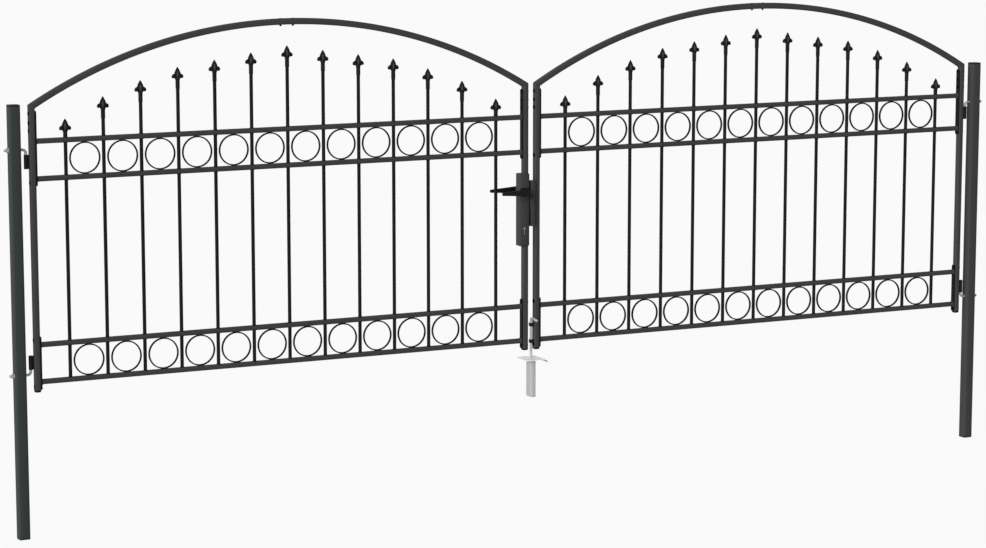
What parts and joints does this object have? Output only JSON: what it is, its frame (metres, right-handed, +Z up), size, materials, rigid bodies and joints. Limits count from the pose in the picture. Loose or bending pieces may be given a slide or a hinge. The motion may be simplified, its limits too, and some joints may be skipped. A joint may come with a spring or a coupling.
{
  "type": "double-leaf driveway gate",
  "caption": "Double-leaf arched driveway gate of coated steel tube with spear-topped pickets and ring bands, hung on two square posts, with lever lock and drop bolt.",
  "frame": {"origin": "centre of the left post's foot face", "axes": "+X along the gate to the right post, +Y away from the drop bolt's handle, +Z up the posts"},
  "size_m": [5.042, 0.142, 2.2365],
  "materials": {
    "coated_steel": "satin anthracite powder coat",
    "coated_post": "satin anthracite powder coat",
    "black_plastic": "moulded black",
    "galvanised_steel": "hot-dip galvanised",
    "nickel_plate": "matt nickel"
  },
  "bodies": {
    "posts": {"left_post": "coated_post", "right_post": "coated_post", "post_caps": "black_plastic", "hinge_bolts": "galvanised_steel", "hinge_nuts": "galvanised_steel", "ground_socket": "galvanised_steel"},
    "left_leaf": {"left_hinge_stile": "coated_steel", "left_arch_hinge_half": "coated_steel", "left_arch_meeting_half": "coated_steel", "left_panel": "coated_steel", "left_upper_rings": "coated_steel", "left_lower_rings": "coated_steel", "left_spear_heads": "coated_steel", "left_end_strips": "coated_steel", "left_stile_caps": "black_plastic", "left_hinge_knuckles": "coated_steel", "left_meeting_stile": "coated_steel", "lock_case": "coated_steel", "lock_cylinder": "nickel_plate", "lever_roses": "black_plastic"},
    "right_leaf": {"right_hinge_stile": "coated_steel", "right_arch_hinge_half": "coated_steel", "right_arch_meeting_half": "coated_steel", "right_panel": "coated_steel", "right_upper_rings": "coated_steel", "right_lower_rings": "coated_steel", "right_spear_heads": "coated_steel", "right_end_strips": "coated_steel", "right_stile_caps": "black_plastic", "right_hinge_knuckles": "coated_steel", "right_meeting_stile": "coated_steel", "lock_keeper": "coated_steel", "drop_bolt_guides": "black_plastic"},
    "lever": {"front_lever": "black_plastic", "back_lever": "black_plastic", "lever_spindle": "galvanised_steel"},
    "drop_bolt": {"drop_bolt": "galvanised_steel"}
  },
  "joints": [
    {"name": "left_leaf_swing", "type": "hinge", "parent": "posts", "child": "left_leaf", "pos_m": [0.0504, 0, 0.726], "axis": [0, 0, -1], "range_deg": [0, 90]},
    {"name": "right_leaf_swing", "type": "hinge", "parent": "posts", "child": "right_leaf", "pos_m": [4.8996, 0, 0.726], "axis": [0, 0, 1], "range_deg": [0, 90]},
    {"name": "lever_turn", "type": "hinge", "parent": "left_leaf", "child": "lever", "pos_m": [2.4339, 0, 1.39694], "axis": [0, -1, 0], "range_deg": [0, 40], "stiffness_Nm_per_rad": 1.2, "springref_deg": -34.38},
    {"name": "drop_bolt_lift", "type": "slide", "parent": "right_leaf", "child": "drop_bolt", "axis": [0, 0, 1], "range_m": [0, 0.1]}
  ]
}
